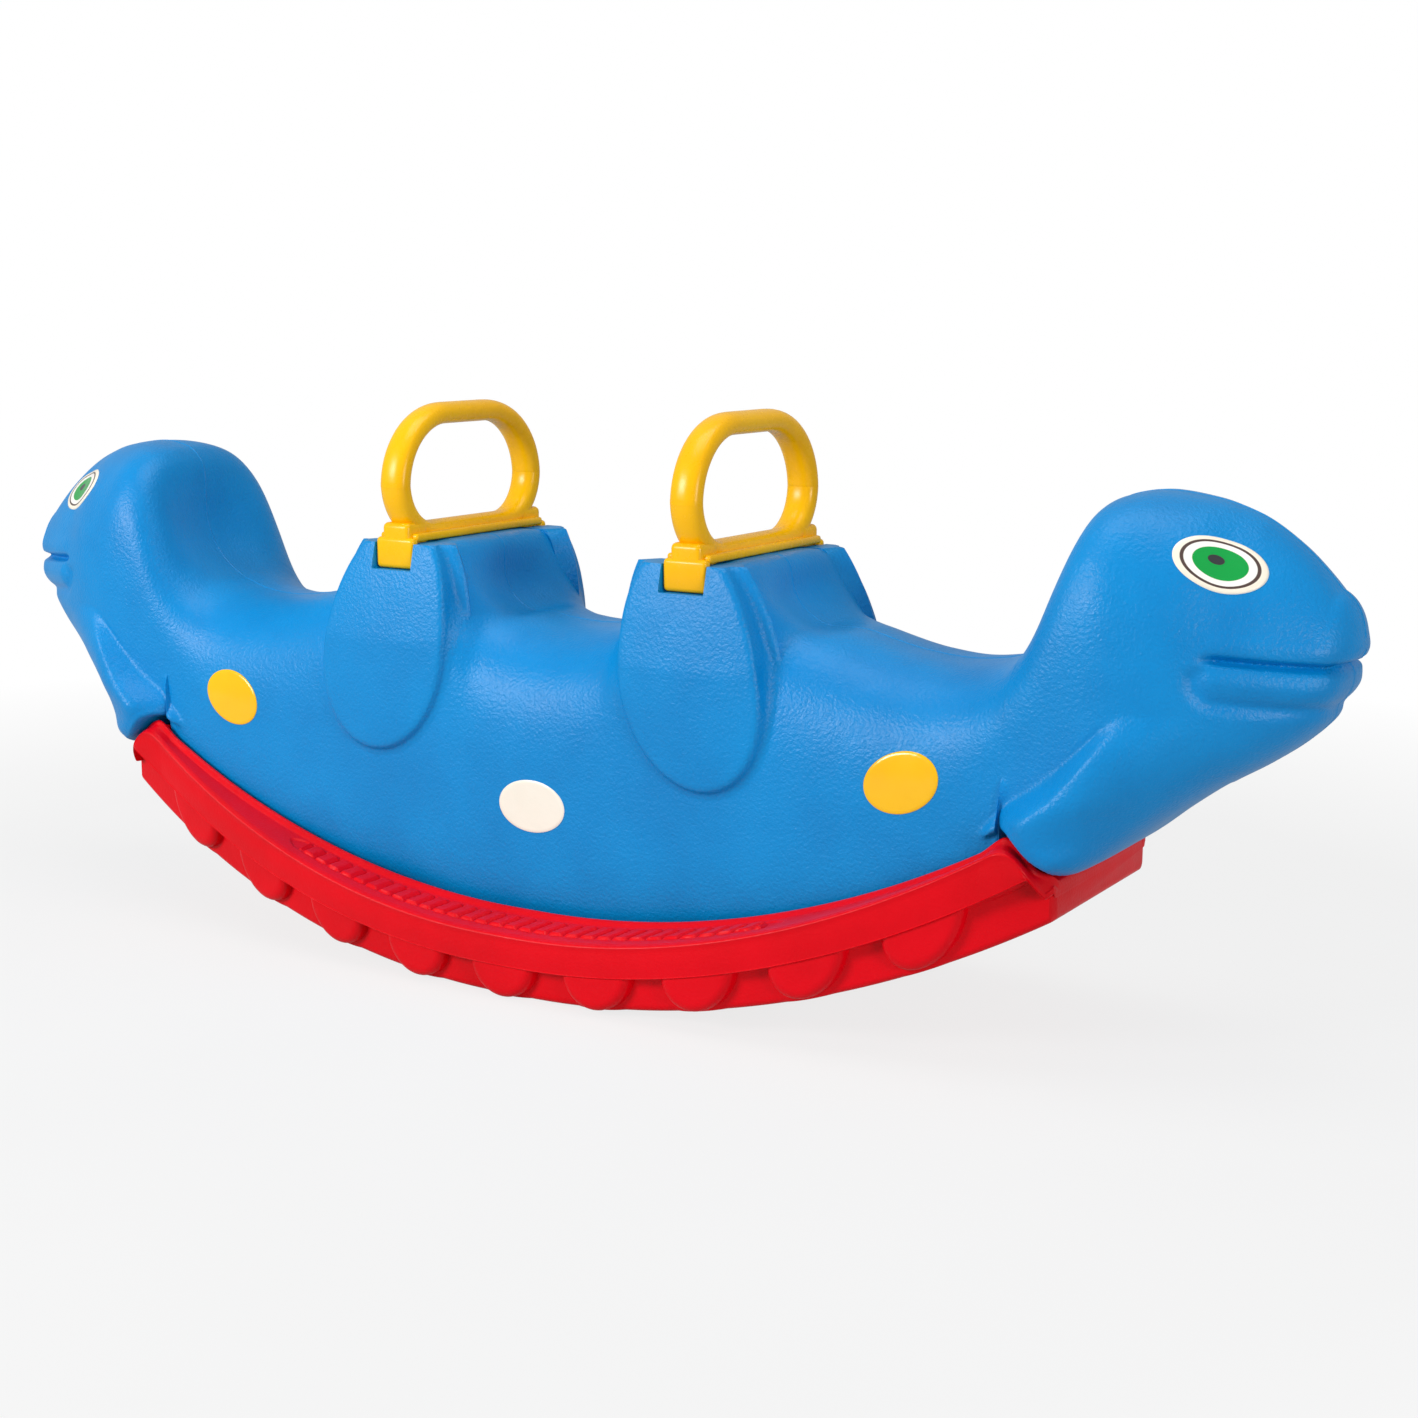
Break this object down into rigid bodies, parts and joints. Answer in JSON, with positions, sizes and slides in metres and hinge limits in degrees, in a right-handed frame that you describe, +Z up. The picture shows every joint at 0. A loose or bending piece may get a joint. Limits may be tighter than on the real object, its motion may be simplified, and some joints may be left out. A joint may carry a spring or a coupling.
{
  "type": "rocker",
  "caption": "Double-ended ride-on rocker: hollow blue body with a head at each end, loop handles on humps, stickers, on a curved red rocker base with side teeth.",
  "frame": {"origin": "bottom centre of the rocker, where the middle of the base rests on the floor", "axes": "+X along the rocker from head to head, +Y across it, +Z up"},
  "size_m": [1.182, 0.279, 0.4346],
  "materials": {
    "body_plastic": "satin blow-moulded polyethylene, fine orange-peel grain",
    "base_plastic": "satin blow-moulded polyethylene",
    "handle_plastic": "glossy injection-moulded polypropylene",
    "spot_vinyl": "gloss vinyl sticker",
    "eye_vinyl": "gloss vinyl sticker with printed rings",
    "badge_vinyl": "gloss vinyl sticker, blank",
    "zinc": "bright zinc plate"
  },
  "bodies": {
    "root": {"body_shell": "body_plastic", "rocker_base": "base_plastic", "handle_left": "handle_plastic", "handle_right": "handle_plastic", "spot_left_near": "spot_vinyl", "spot_left_far": "spot_vinyl", "spot_right_near": "spot_vinyl", "spot_right_far": "spot_vinyl", "eye_left_near": "eye_vinyl", "eye_left_far": "eye_vinyl", "eye_right_near": "eye_vinyl", "eye_right_far": "eye_vinyl", "badge_near": "badge_vinyl", "badge_far": "badge_vinyl", "base_screw_1": "zinc", "base_screw_2": "zinc", "base_screw_3": "zinc", "base_screw_4": "zinc", "base_screw_5": "zinc", "base_screw_6": "zinc", "washer_1": "zinc", "washer_2": "zinc", "washer_3": "zinc", "washer_4": "zinc", "washer_5": "zinc", "washer_6": "zinc"}
  },
  "joints": []
}
